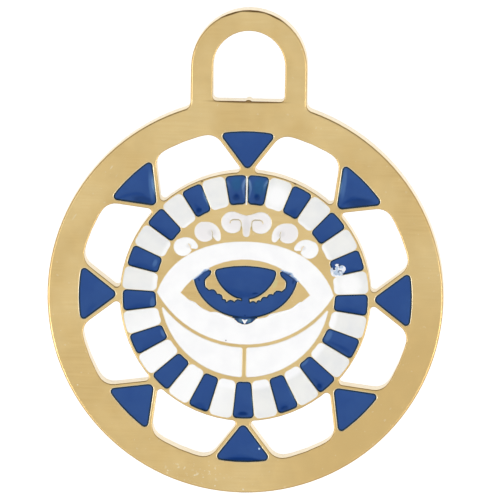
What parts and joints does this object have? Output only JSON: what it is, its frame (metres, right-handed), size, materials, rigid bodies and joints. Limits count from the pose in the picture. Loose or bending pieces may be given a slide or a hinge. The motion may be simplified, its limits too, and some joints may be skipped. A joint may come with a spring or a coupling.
{
  "type": "evil eye pendant",
  "caption": "Round openwork metal pendant with a bail, enamelled rays, a ring of enamel blocks and an eye in blue and white enamel.",
  "frame": {"origin": "middle of the disc on the pendant's flat back face", "axes": "+Z out of the enamelled face, +Y from the middle of the disc towards the bail, +X to the right seen from the front"},
  "size_m": [0.03, 0.0368, 0.0022],
  "materials": {
    "gold_metal": "satin gold plate",
    "blue_enamel": "gloss enamel",
    "white_enamel": "gloss enamel"
  },
  "bodies": {
    "root": {"plate": "gold_metal", "ray_1": "blue_enamel", "ray_2": "blue_enamel", "ray_3": "blue_enamel", "ray_4": "blue_enamel", "ray_5": "blue_enamel", "ray_6": "blue_enamel", "ray_7": "blue_enamel", "ray_8": "blue_enamel", "ring_block_01": "blue_enamel", "ring_block_02": "white_enamel", "ring_block_03": "blue_enamel", "ring_block_04": "white_enamel", "ring_block_05": "blue_enamel", "ring_block_06": "white_enamel", "ring_block_07": "blue_enamel", "ring_block_08": "white_enamel", "ring_block_09": "blue_enamel", "ring_block_10": "white_enamel", "ring_block_11": "blue_enamel", "ring_block_12": "white_enamel", "ring_block_13": "blue_enamel", "ring_block_14": "white_enamel", "ring_block_15": "blue_enamel", "ring_block_16": "white_enamel", "ring_block_17": "blue_enamel", "ring_block_18": "blue_enamel", "ring_block_19": "white_enamel", "ring_block_20": "blue_enamel", "ring_block_21": "white_enamel", "ring_block_22": "blue_enamel", "ring_block_23": "white_enamel", "ring_block_24": "blue_enamel", "ring_block_25": "white_enamel", "ring_block_26": "blue_enamel", "ring_block_27": "white_enamel", "ring_block_28": "blue_enamel", "ring_block_29": "white_enamel", "ring_block_30": "blue_enamel", "ring_block_31": "white_enamel", "ring_block_32": "blue_enamel", "ring_block_33": "white_enamel", "crest_middle": "white_enamel", "crest_left_inner": "white_enamel", "crest_right_inner": "white_enamel", "crest_left_outer": "white_enamel", "crest_right_outer": "white_enamel", "eye_white": "white_enamel", "iris": "blue_enamel", "tear": "blue_enamel", "lid_left": "white_enamel", "lid_right": "white_enamel"}
  },
  "joints": []
}
